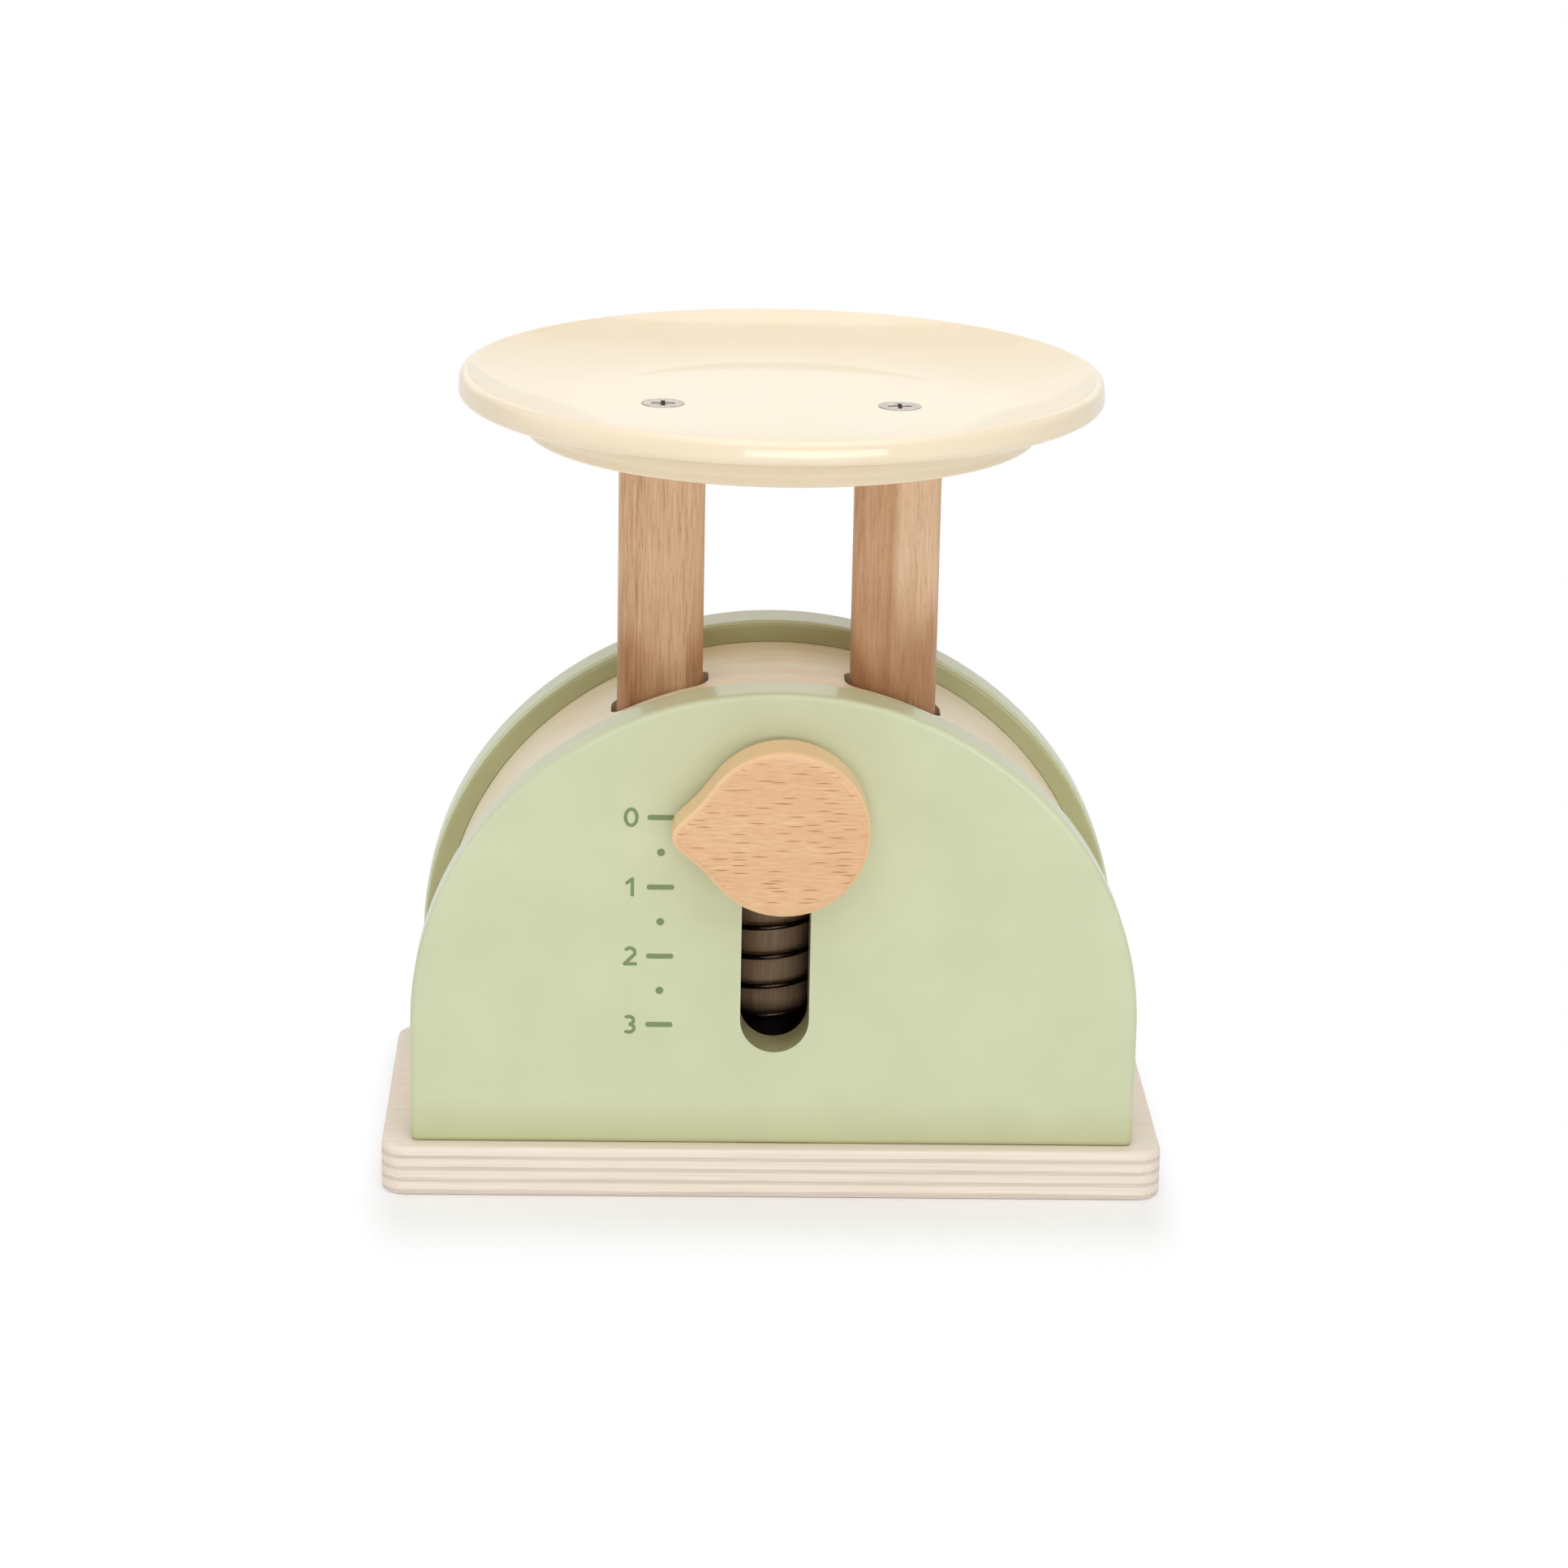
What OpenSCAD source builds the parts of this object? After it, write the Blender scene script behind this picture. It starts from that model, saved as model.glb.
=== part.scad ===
// Wooden toy kitchen scale. A turned dish on two flat posts presses a crosshead down on a
// coil spring, and a pointer on the crosshead travels along a slot beside the marks.
// The origin is the middle of the base's underside, the front faces -Y and Z is up.

/* [Base] */
// Strip of base that shows at each end of the panels
base_margin_x = 6; // [3:0.5:15]
// Strip of base that shows in front of and behind the panels
base_margin_y = 3.5; // [2:0.5:12]
// Thickness of the plywood base
base_t = 10.5; // [8:0.5:16]
// Radius of the base's corners, seen from above
base_corner_r = 5; // [3:0.5:10]
// Rounding of the base's upper and lower edges
base_edge_r = 1; // [0.5:0.1:2]

/* [Panels] */
// Width of the two arched panels
panel_w = 148; // [123:1:180]
// Height of the panels above the base
panel_h = 96; // [80:1:115]
// Thickness of each panel
panel_t = 10; // [8:0.5:14]
// Space between the two panels
panel_gap = 46; // [40:1:60]
// Rounding of the panels' outer edges
panel_edge_r = 1.2; // [0.6:0.1:2]
// Radius of the panels' lower corners as a share of the rounding of their edges
panel_corner_share = 1.25; // [1.1:0.05:3]
// Rise of the panel's half-ellipse as a share of half its width
arch_rise_share = 0.949; // [0.85:0.001:1]

/* [Cover] */
// Thickness of the bent plywood cover
cover_t = 3; // [2:0.1:4]
// How far the cover lies inside the panels' outline
cover_inset = 4.5; // [3:0.1:7]
// Depth of the groove that holds each edge of the cover
groove_depth = 3; // [2:0.1:4]

/* [Slot] */
// From the top of the panel down to the upper end of the slot
slot_from_top = 19.7; // [17:0.1:25]
// From the base up to the lower end of the slot
slot_from_base = 20; // [17:0.5:26]
// Room at each side of the pointer's stem in the slot
slot_clearance = 1; // [0.5:0.1:2]
// Gap between the stem and the end of the slot that stops it
stop_gap = 0.3; // [0.2:0.05:0.6]

/* [Posts] */
// Distance between the middles of the two posts
post_spacing = 48; // [40:0.5:57]
// Width of a post, seen from the front
post_w = 17.6; // [14:0.1:21]
// Depth of a post, seen from the side
post_d = 9; // [7.5:0.1:12]
// Rounding of a post's long edges
post_edge_r = 2.5; // [1:0.1:3.5]
// Room at each end of a post in its hole in the cover
post_end_room = 1.2; // [0.5:0.1:2]
// Room in front of a post and behind it in its hole in the cover
post_side_room = 1; // [0.5:0.1:2]

/* [Dish] */
// Diameter of the dish
dish_d = 131; // [110:1:156]
// Height of the dish
dish_h = 12.2; // [10.2:0.1:14.5]
// Thickness of the dish's rim
rim_t = 5.2; // [4.3:0.1:6.2]
// Rounding of the rim
rim_edge_r = 2; // [1:0.1:2.1]
// Width of the rim, seen from above
rim_w = 3; // [2.5:0.1:5]
// Diameter of the flat floor inside the dish
floor_d = 86; // [70:1:102]
// Thickness of the dish under its floor
floor_t = 5.1; // [4.2:0.1:6]
// Radius of the hollow wall, as a share of the one that would run smoothly into the floor
wall_r_share = 1.18; // [1.05:0.01:1.6]
// Diameter of the turned foot under the dish
foot_d = 104; // [90:1:124]
// Height of the foot's upright side
foot_h = 2.5; // [2:0.1:4]
// Rounding of the foot's lower edge
foot_edge_r = 0.8; // [0.4:0.1:1.5]
// How far the slope under the dish runs, as a share of the way from the foot to the rim
slope_share = 0.6; // [0.45:0.01:0.75]
// Gap left between the dish and the panels when the pointer is at its lowest
dish_stop_gap = 2.7; // [2:0.1:6]

/* [Crosshead] */
// Depth of the crosshead from front to back
crosshead_d = 30; // [26:0.5:35]
// Wood left outside each post
crosshead_wall = 4; // [3:0.5:6]
// Wood left above the pointer's stem
crosshead_cap = 0.5; // [0.4:0.1:1.5]
// Wood left under each post
crosshead_floor = 4; // [3.5:0.1:6]
// How deep each post is let into the crosshead
post_seat = 14; // [11:0.5:17]
// Size of the cut corners that clear the cover
crosshead_chamfer = 5; // [4:0.5:6]

/* [Guide and spring] */
// Diameter of the dowel that guides the crosshead
guide_d = 16; // [13.5:0.5:19]
// Running room round the guide dowel in the crosshead
guide_room = 0.3; // [0.2:0.05:0.5]
// How deep the guide dowel is let into the base
guide_seat = 6; // [4:0.5:7]
// Gap left between the guide dowel and the cover
guide_top_gap = 3; // [2:0.5:6]
// Diameter of the spring's wire
wire_d = 1.2; // [1:0.05:1.5]
// Room between the guide dowel and the inside of the spring
spring_room = 1.2; // [0.9:0.05:1.5]
// Number of turns in the spring, with its two end turns
spring_turns = 10.35; // [8.5:0.05:12.5]
// Direction in which the spring's lower end points
spring_start = 11; // [0:1:359]

/* [Pointer] */
// Diameter of the pointer's stem
stem_d = 12; // [10:0.5:14.5]
// Wood left between the stem's seat and the bore of the crosshead
stem_web = 1.2; // [1:0.1:1.5]
// How deep the stem is let into the knob
knob_seat = 7; // [5:0.5:9]
// Diameter of the round part of the knob
knob_d = 34.4; // [28:0.2:41]
// How far the middle of the round part lies beside the stem
knob_shift = 1; // [0.5:0.1:2]
// From the stem's axis to the knob's tip
knob_reach = 22; // [20:0.5:26.5]
// Radius of the knob's tip
nose_r = 2.7; // [2.2:0.1:3.3]
// Thickness of the knob
knob_t = 11; // [9:0.5:13.5]
// Rounding of the knob's edges
knob_edge_r = 1.6; // [1:0.1:2]
// Gap between the knob and the face of the panel
knob_gap = 1; // [0.5:0.1:2]

/* [Screws] */
// Diameter of a screw's head
screw_head_d = 8.4; // [7:0.1:10]
// Diameter of a screw's shank
screw_d = 4; // [3.2:0.1:4.8]
// Length of a screw, with its head
screw_l = 30; // [24:1:36]
// Length of a screw's point
screw_point = 5; // [4:0.5:7]
// Width across the arms of the cross recess
recess_span = 4.8; // [4:0.1:6]
// Width of each arm of the cross recess
recess_w = 0.9; // [0.7:0.05:1.2]
// Depth of the cross recess
recess_depth = 1.6; // [1.2:0.1:2]
// From each side of a panel in to its screw
panel_screw_inset = 24; // [18:1:30]

/* [Hidden] */
// Gap round a glued or screwed piece in its seat
seat_gap = 0.1;
// How far a cut runs past the face that it opens
overrun = 1;
// Length of wire that adds one turn of height in an end turn, counted in wire diameters
end_pitch_share = 1.4;
// Number of turns at each end of the spring that lie close
end_turns = 1;
// How gently the close turns pass into the open ones, in turns
turn_blend = 0.3;
rings_per_turn = 8;
wire_sides = 6;
// Facets round the small rounding of the knob, which is drawn as one skin
edge_sides = 24;
$fn = 96;

// Base and panels
base_w = panel_w + 2 * base_margin_x;
panel_out = panel_gap / 2 + panel_t;
base_d = 2 * (panel_out + base_margin_y);
panel_top = base_t + panel_h;
panel_screw_x = panel_w / 2 - panel_screw_inset;
panel_mid = panel_gap / 2 + panel_t / 2;

// The arch is half an ellipse above upright sides
half_w = panel_w / 2;
rise = arch_rise_share * half_w;
spring_line = panel_h - rise;
panel_corner_r = panel_corner_share * panel_edge_r;

// Slot and travel
slot_w = stem_d + 2 * slot_clearance;
slot_top = panel_top - slot_from_top;
slot_bottom = base_t + slot_from_base;
pointer_z = slot_top - stop_gap - stem_d / 2;
pointer_low_z = slot_bottom + stop_gap + stem_d / 2;
travel = pointer_z - pointer_low_z;

// Dish
dish_z = panel_top + travel + dish_stop_gap;
dish_floor_z = dish_z + floor_t;
dish_r = dish_d / 2;
foot_r = foot_d / 2;
floor_r = floor_d / 2;
slope_end = foot_r + slope_share * (dish_r - foot_r);

// Centre of the hollow wall's arc, which runs from the edge of the floor to the rim
wall_run = dish_r - rim_w - floor_r;
wall_rise = dish_h - floor_t;
wall_chord = norm([wall_run, wall_rise]);
wall_r = wall_r_share * pow(wall_chord, 2) / (2 * wall_rise);
wall_sag_r = sqrt(pow(wall_r, 2) - pow(wall_chord / 2, 2));
wall_x = floor_r + wall_run / 2 - wall_sag_r * wall_rise / wall_chord;
wall_z = floor_t + wall_rise / 2 + wall_sag_r * wall_run / wall_chord;

// Crosshead and posts
crosshead_top = pointer_z + stem_d / 2 + crosshead_cap;
crosshead_h = post_seat + crosshead_floor;
crosshead_z = crosshead_top - crosshead_h;
crosshead_w = post_spacing + post_w + 2 * crosshead_wall;
post_z = crosshead_z + crosshead_floor;
post_x = post_spacing / 2;

// Guide dowel and spring
guide_z = base_t - guide_seat;
guide_top = panel_top - cover_inset - cover_t - guide_top_gap;
coil_r = guide_d / 2 + spring_room + wire_d / 2;
coil_rise = crosshead_z - stop_gap - base_t - wire_d;
end_pitch = end_pitch_share * wire_d;
coil_pitch = (coil_rise - 2 * end_turns * end_pitch) / (spring_turns - 2 * end_turns);

// Pointer
stem_seat_y = guide_d / 2 + guide_room + stem_web;
knob_back = panel_out + knob_gap;
stem_end_y = knob_back + knob_seat;
knob_r = knob_d / 2;
nose_x = nose_r - knob_reach;

// Screws
head_r = screw_head_d / 2;
shank_r = screw_d / 2;
head_h = head_r - shank_r;

// Half of a flat piece's section, from its middle out to a rounded edge
module edge_section(reach, thick, round_r) {
    translate([0, -thick / 2]) square([reach - round_r, thick]);
    translate([0, round_r - thick / 2]) square([reach, thick - 2 * round_r]);
    intersection() {
        for (side = [-1, 1])
            translate([reach - round_r, side * (thick / 2 - round_r)]) circle(round_r);
        translate([0, -thick / 2]) square([reach, thick]);
    }
}

module rounded_rect(w, d, r) {
    square([w - 2 * r, d], center = true);
    square([w, d - 2 * r], center = true);
    for (x = [-1, 1], y = [-1, 1])
        translate([x * (w / 2 - r), y * (d / 2 - r)]) circle(r);
}

// Flat board with round corners and rounded edges, its underside on z = 0
module rounded_board(w, d, t, corner_r, edge_r) {
    core_w = w - 2 * corner_r;
    core_d = d - 2 * corner_r;
    translate([0, 0, t / 2]) {
        cube([core_w, core_d, t], center = true);
        for (turn = [0, 1]) rotate(180 * turn) {
            for (side = [0, 1]) mirror([side, 0, 0])
                translate([core_w / 2, core_d / 2, 0]) rotate_extrude(angle = 90)
                    edge_section(corner_r, t, edge_r);
            translate([core_w / 2, core_d / 2, 0]) rotate([90, 0, 0]) linear_extrude(core_d)
                edge_section(corner_r, t, edge_r);
            translate([-core_w / 2, core_d / 2, 0]) rotate([90, 0, 90]) linear_extrude(core_w)
                edge_section(corner_r, t, edge_r);
        }
    }
}

// Arched panel standing on z = 0 and centred on y = 0, rounded along its foot as well
module arched_board() {
    core = half_w - panel_corner_r;
    translate([0, 0, spring_line]) scale([1, 1, arch_rise_share]) rotate([90, 0, 0])
        rotate_extrude(angle = 180) edge_section(half_w, panel_t, panel_edge_r);
    for (side = [0, 1]) mirror([side, 0, 0]) translate([0, 0, panel_corner_r]) {
        linear_extrude(spring_line - panel_corner_r) edge_section(half_w, panel_t, panel_edge_r);
        translate([core, 0, 0]) rotate([-90, 0, 0]) rotate_extrude(angle = 90)
            edge_section(panel_corner_r, panel_t, panel_edge_r);
    }
    translate([-core, 0, panel_corner_r]) rotate([0, 90, 0]) linear_extrude(2 * core)
        edge_section(panel_corner_r, panel_t, panel_edge_r);
}

// Solid under the arch, inset from the panel's outline, with feet down to z = -foot
module arch_body(inset, width, foot) {
    reach = half_w - inset;
    translate([0, 0, spring_line]) scale([1, 1, (rise - inset) / reach]) rotate([90, 0, 0])
        rotate_extrude(angle = 180) translate([0, -width / 2]) square([reach, width]);
    translate([-reach, -width / 2, -foot]) cube([2 * reach, width, spring_line + foot]);
}

// Strip bent to the arch
module bent_strip(inset, thick, width, foot) {
    difference() {
        arch_body(inset, width, foot);
        arch_body(inset + thick, width + 2 * overrun, foot + overrun);
    }
}

// Countersunk screw with its head's face on z = 0 and its point down
module wood_screw() {
    color("silver") difference() {
        union() {
            translate([0, 0, -head_h]) cylinder(h = head_h, r1 = shank_r, r2 = head_r);
            translate([0, 0, screw_point - screw_l]) cylinder(h = screw_l - screw_point - head_h, r = shank_r);
            translate([0, 0, -screw_l]) cylinder(h = screw_point, r1 = recess_w / 2, r2 = shank_r);
        }
        for (turn = [0, 90]) rotate(turn)
            cube([recess_span, recess_w, 2 * recess_depth], center = true);
    }
}

// Countersunk hole for that screw, open at z = 0
module screw_hole() {
    translate([0, 0, -head_h]) cylinder(h = head_h, r1 = shank_r + seat_gap, r2 = head_r + seat_gap);
    cylinder(h = overrun, r = head_r + seat_gap);
    translate([0, 0, -screw_l - seat_gap]) cylinder(h = screw_l + seat_gap, r = shank_r + seat_gap);
}

// Places its children at the screws that come up through the base, points up
module at_base_screw(x, y) {
    translate([x, y, 0]) mirror([0, 0, 1]) children();
}

module base_plate() {
    color("#ecdcc0") difference() {
        rounded_board(base_w, base_d, base_t, base_corner_r, base_edge_r);
        translate([0, 0, guide_z]) cylinder(h = guide_seat + overrun, r = guide_d / 2 + seat_gap);
        at_base_screw(0, 0) screw_hole();
        for (x = [-1, 1], y = [-1, 1])
            at_base_screw(x * panel_screw_x, y * panel_mid) screw_hole();
    }
}

// Panel in its place, with the groove for the cover in its inner face
module grooved_panel(side) {
    difference() {
        translate([0, side * panel_mid, base_t]) arched_board();
        translate([0, 0, base_t])
            bent_strip(cover_inset - seat_gap, cover_t + 2 * seat_gap,
                panel_gap + 2 * (groove_depth + seat_gap), overrun);
        for (x = [-1, 1]) at_base_screw(x * panel_screw_x, side * panel_mid) screw_hole();
    }
}

// Outline of the slot, drawn in x and z
module slot_outline() {
    ends = [slot_bottom + slot_w / 2, slot_top - slot_w / 2];
    translate([-slot_w / 2, ends[0]]) square([slot_w, ends[1] - ends[0]]);
    for (z = ends) translate([0, z]) circle(slot_w / 2);
}

module front_panel() {
    color("#d0d5b2") difference() {
        grooved_panel(-1);
        rotate([90, 0, 0]) linear_extrude(panel_out + overrun) slot_outline();
    }
}

module rear_panel() {
    color("#d0d5b2") grooved_panel(1);
}

module arch_cover() {
    color("#dbc9b2") difference() {
        translate([0, 0, base_t]) bent_strip(cover_inset, cover_t, panel_gap + 2 * groove_depth, 0);
        for (x = [-1, 1]) translate([x * post_x, 0, crosshead_z]) linear_extrude(panel_top - crosshead_z)
            rounded_rect(post_w + 2 * post_end_room, post_d + 2 * post_side_room, post_edge_r + post_side_room);
    }
}

module guide_dowel() {
    color("#cda77c") difference() {
        translate([0, 0, guide_z]) {
            cylinder(h = guide_top - guide_z - overrun, r = guide_d / 2);
            translate([0, 0, guide_top - guide_z - overrun])
                cylinder(h = overrun, r1 = guide_d / 2, r2 = guide_d / 2 - overrun);
        }
        at_base_screw(0, 0) screw_hole();
    }
}

// Height of the wire's axis after a number of turns: close turns, open turns, close turns
function bend(u) = (u + sqrt(pow(u, 2) + pow(turn_blend, 2))) / 2;
function climb(u) = end_pitch * u
    + (coil_pitch - end_pitch) * (bend(u - end_turns) - bend(u - spring_turns + end_turns));
function coil_height(u) = coil_rise * (climb(u) - climb(0)) / (climb(spring_turns) - climb(0));
function coil_point(u) = [
    coil_r * cos(spring_start + 360 * u),
    coil_r * sin(spring_start + 360 * u),
    base_t + wire_d / 2 + coil_height(u)
];

// The wire's axis: the coil, with one straight wire diameter added at each end
coil_steps = ceil(spring_turns * rings_per_turn);
coil_points = [for (i = [0:coil_steps]) coil_point(spring_turns * i / coil_steps)];
function flat_way(u) = [-sin(spring_start + 360 * u), cos(spring_start + 360 * u), 0];
wire_path = concat(
    [coil_points[0] - wire_d * flat_way(0)],
    coil_points,
    [coil_points[coil_steps] + wire_d * flat_way(spring_turns)]
);

// Rings of the tube stand upright across the wire, so its ends are square
function path_way(i) = let (
    a = wire_path[max(i - 1, 0)],
    b = wire_path[min(i + 1, len(wire_path) - 1)],
    flat = [b[0] - a[0], b[1] - a[1], 0]
) flat / norm(flat);
function wire_ring(i) = let (way = path_way(i), out = [way[1], -way[0], 0]) [
    for (k = [0:wire_sides - 1])
        let (turn = 360 * (k + 1 / 2) / wire_sides)
        wire_path[i] + wire_d / 2 * (cos(turn) * out + sin(turn) * [0, 0, 1])
];
wire_rings = len(wire_path);

// Least gap between a turn and the next one, over the points of the wire's axis
coil_gap = min([for (i = [0:coil_steps], j = [i + floor(rings_per_turn / 2):coil_steps])
    if (j <= coil_steps) norm(coil_points[i] - coil_points[j])]) - wire_d;
echo(least_gap_between_turns = coil_gap, pitch = coil_pitch, travel = travel);

module return_spring() {
    points = [for (i = [0:wire_rings - 1]) each wire_ring(i)];
    sides = [
        for (i = [0:wire_rings - 2], k = [0:wire_sides - 1])
            let (a = i * wire_sides + k, b = i * wire_sides + (k + 1) % wire_sides)
            each [[a, a + wire_sides, b], [b, a + wire_sides, b + wire_sides]]
    ];
    first_end = [for (k = [1:wire_sides - 2]) [0, k, k + 1]];
    last = (wire_rings - 1) * wire_sides;
    last_end = [for (k = [1:wire_sides - 2]) [last, last + k + 1, last + k]];
    color("#4a4744") polyhedron(points, concat(sides, first_end, last_end), convexity = 10);
}

// Half section of the dish's inside, from its axis out
module hollow_section() {
    intersection() {
        union() {
            translate([-overrun, 0]) square([wall_x + overrun, 2 * dish_h]);
            translate([wall_x, wall_z]) circle(wall_r);
        }
        translate([-overrun, floor_t]) square([dish_r, dish_h]);
    }
}

// Half section of the dish, from its axis out, with its foot on y = 0
module dish_section() {
    rim_z = dish_h - rim_t;
    difference() {
        union() {
            translate([0, dish_h - rim_t / 2]) edge_section(dish_r, rim_t, rim_edge_r);
            polygon([
                [0, 0], [foot_r - foot_edge_r, 0], [foot_r - foot_edge_r, foot_edge_r],
                [foot_r, foot_edge_r], [foot_r, foot_h],
                [slope_end, rim_z], [slope_end, rim_z + rim_edge_r], [0, rim_z + rim_edge_r]
            ]);
            translate([foot_r - foot_edge_r, foot_edge_r]) circle(foot_edge_r);
        }
        hollow_section();
    }
}

module dish() {
    color("#f6ead0") difference() {
        translate([0, 0, dish_z]) rotate_extrude() dish_section();
        for (x = [-1, 1]) translate([x * post_x, 0, dish_floor_z]) screw_hole();
    }
}

module post(side) {
    color("#c79b72") translate([side * post_x, 0, 0]) difference() {
        translate([0, 0, post_z]) linear_extrude(dish_z - post_z) rounded_rect(post_w, post_d, post_edge_r);
        translate([0, 0, dish_floor_z]) screw_hole();
        translate([0, 0, crosshead_z]) mirror([0, 0, 1]) screw_hole();
    }
}

module left_post() {
    post(-1);
}

module right_post() {
    post(1);
}

// Front outline of the crosshead, drawn in x and z
module crosshead_outline() {
    half = crosshead_w / 2;
    polygon([
        [-half, crosshead_z], [half, crosshead_z],
        [half, crosshead_top - crosshead_chamfer], [half - crosshead_chamfer, crosshead_top],
        [crosshead_chamfer - half, crosshead_top], [-half, crosshead_top - crosshead_chamfer]
    ]);
}

module crosshead() {
    color("#cda77c") difference() {
        translate([0, crosshead_d / 2, 0]) rotate([90, 0, 0]) linear_extrude(crosshead_d) crosshead_outline();
        translate([0, 0, crosshead_z - overrun])
            cylinder(h = crosshead_h + 2 * overrun, r = guide_d / 2 + guide_room);
        translate([0, -stem_seat_y, pointer_z]) rotate([90, 0, 0])
            cylinder(h = crosshead_d, r = stem_d / 2 + seat_gap);
        for (x = [-1, 1]) translate([x * post_x, 0, 0]) {
            translate([0, 0, post_z]) linear_extrude(post_seat + overrun)
                rounded_rect(post_w + 2 * seat_gap, post_d + 2 * seat_gap, post_edge_r + seat_gap);
            translate([0, 0, crosshead_z]) mirror([0, 0, 1]) screw_hole();
        }
    }
}

module dish_screw(side) {
    translate([side * post_x, 0, dish_floor_z]) wood_screw();
}

module crosshead_screw(side) {
    translate([side * post_x, 0, crosshead_z]) mirror([0, 0, 1]) wood_screw();
}

module pointer_stem() {
    color("#cda77c") translate([0, -stem_seat_y, pointer_z]) rotate([90, 0, 0])
        cylinder(h = stem_end_y - stem_seat_y, r = stem_d / 2);
}

// Disc with rounded edges, lying flat and centred on its thickness
module round_disc(r) {
    rotate_extrude() edge_section(r, knob_t, knob_edge_r, $fn = edge_sides);
}

module pointer_knob() {
    color("#e3b78c") difference() {
        translate([0, -knob_back - knob_t / 2, pointer_z]) rotate([90, 0, 0]) hull() {
            translate([knob_shift, 0, 0]) round_disc(knob_r);
            translate([nose_x, 0, 0]) round_disc(nose_r);
        }
        translate([0, overrun - knob_back, pointer_z]) rotate([90, 0, 0])
            cylinder(h = knob_seat + overrun + seat_gap, r = stem_d / 2 + seat_gap);
    }
}

base_plate();
front_panel();
rear_panel();
arch_cover();
guide_dowel();
at_base_screw(0, 0) wood_screw();  // guide_screw
at_base_screw(-panel_screw_x, -panel_mid) wood_screw();  // front_left_panel_screw
at_base_screw(panel_screw_x, -panel_mid) wood_screw();  // front_right_panel_screw
at_base_screw(-panel_screw_x, panel_mid) wood_screw();  // rear_left_panel_screw
at_base_screw(panel_screw_x, panel_mid) wood_screw();  // rear_right_panel_screw
return_spring();
dish();
left_post();
right_post();
crosshead();
dish_screw(-1);  // left_dish_screw
dish_screw(1);  // right_dish_screw
crosshead_screw(-1);  // left_crosshead_screw
crosshead_screw(1);  // right_crosshead_screw
pointer_stem();
pointer_knob();
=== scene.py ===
import math

import bmesh
import bpy
from mathutils import Matrix, Vector


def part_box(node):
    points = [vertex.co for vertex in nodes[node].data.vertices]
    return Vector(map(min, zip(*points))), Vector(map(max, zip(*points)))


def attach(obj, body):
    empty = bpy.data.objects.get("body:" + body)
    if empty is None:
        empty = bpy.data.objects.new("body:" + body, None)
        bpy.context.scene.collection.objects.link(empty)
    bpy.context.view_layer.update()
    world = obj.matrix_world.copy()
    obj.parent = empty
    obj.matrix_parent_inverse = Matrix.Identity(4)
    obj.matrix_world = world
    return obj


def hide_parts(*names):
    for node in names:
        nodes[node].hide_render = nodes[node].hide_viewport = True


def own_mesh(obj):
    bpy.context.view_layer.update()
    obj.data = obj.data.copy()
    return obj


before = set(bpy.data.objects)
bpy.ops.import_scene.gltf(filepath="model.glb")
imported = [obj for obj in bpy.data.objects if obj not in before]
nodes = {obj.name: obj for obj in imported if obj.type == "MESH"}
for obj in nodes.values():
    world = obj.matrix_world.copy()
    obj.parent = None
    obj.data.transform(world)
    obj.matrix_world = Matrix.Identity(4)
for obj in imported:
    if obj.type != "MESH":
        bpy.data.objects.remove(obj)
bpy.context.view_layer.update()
mm = 0.001  # the frame is in metres, and the sizes below are in millimetres
upright = Matrix.Rotation(math.radians(90), 4, "X")  # stands a flat shape up, facing the front
print("frame loaded:", len(nodes), "nodes")

# Camera

cameraSetup = {
    "place": (-25.9, -903.3, 354.8),  # mm, in the part's frame
    "pitch": 17.05,  # degrees down
    "yaw": 1.77,  # degrees to the right
    "roll": 1.13,  # degrees, the photograph leans a little
    "lens": 104.5,  # mm
    "sensor": 36,  # mm
}


def placeCamera(setup):
    data = bpy.data.cameras.new("photoCamera")
    data.lens = setup["lens"]
    data.sensor_width = setup["sensor"]
    camera = bpy.data.objects.new("photoCamera", data)
    bpy.context.scene.collection.objects.link(camera)
    camera.matrix_world = (
        Matrix.Translation(Vector(setup["place"]) * mm)
        @ Matrix.Rotation(-math.radians(setup["yaw"]), 4, "Z")
        @ Matrix.Rotation(math.radians(90 - setup["pitch"]), 4, "X")
        @ Matrix.Rotation(math.radians(setup["roll"]), 4, "Z")
    )
    bpy.context.scene.camera = camera


placeCamera(cameraSetup)
print("camera placed")

# Materials

# settings of a Mix node that lays a shade over a colour
shadeOver = {"data_type": "RGBA", "blend_type": "MULTIPLY"}


def linear(hexValue):
    # sRGB hex to the linear values that Blender works in
    levels = [int(hexValue[i : i + 2], 16) / 255 for i in (1, 3, 5)]
    bent = [c / 12.92 if c <= 0.04045 else ((c + 0.055) / 1.055) ** 2.4 for c in levels]
    return (*bent, 1.0)


def addNode(tree, kind, settings=None, links=None):
    node = tree.nodes.new(kind)
    for key, value in (settings or {}).items():
        if key == "stops":
            # positions along a colour ramp, each with an sRGB hex colour or a grey level
            elements = node.color_ramp.elements
            for position, tone in value[2:]:
                elements.new(position)
            for element, (position, tone) in zip(elements, value):
                element.position = position
                element.color = linear(tone) if isinstance(tone, str) else (tone, tone, tone, 1)
        elif isinstance(key, int) or key in node.inputs:
            node.inputs[key].default_value = value
        else:
            setattr(node, key, value)
    for key, source in (links or {}).items():
        tree.links.new(source, node.inputs[key])
    return node


def newMaterial(name, shaderSettings):
    material = bpy.data.materials.new(name)
    material.use_nodes = True
    tree = material.node_tree
    tree.nodes.clear()
    shader = addNode(tree, "ShaderNodeBsdfPrincipled", shaderSettings)
    addNode(tree, "ShaderNodeOutputMaterial", None, {"Surface": shader.outputs[0]})
    place = addNode(tree, "ShaderNodeTexCoord").outputs["Object"]
    return material, tree, shader, place


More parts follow.
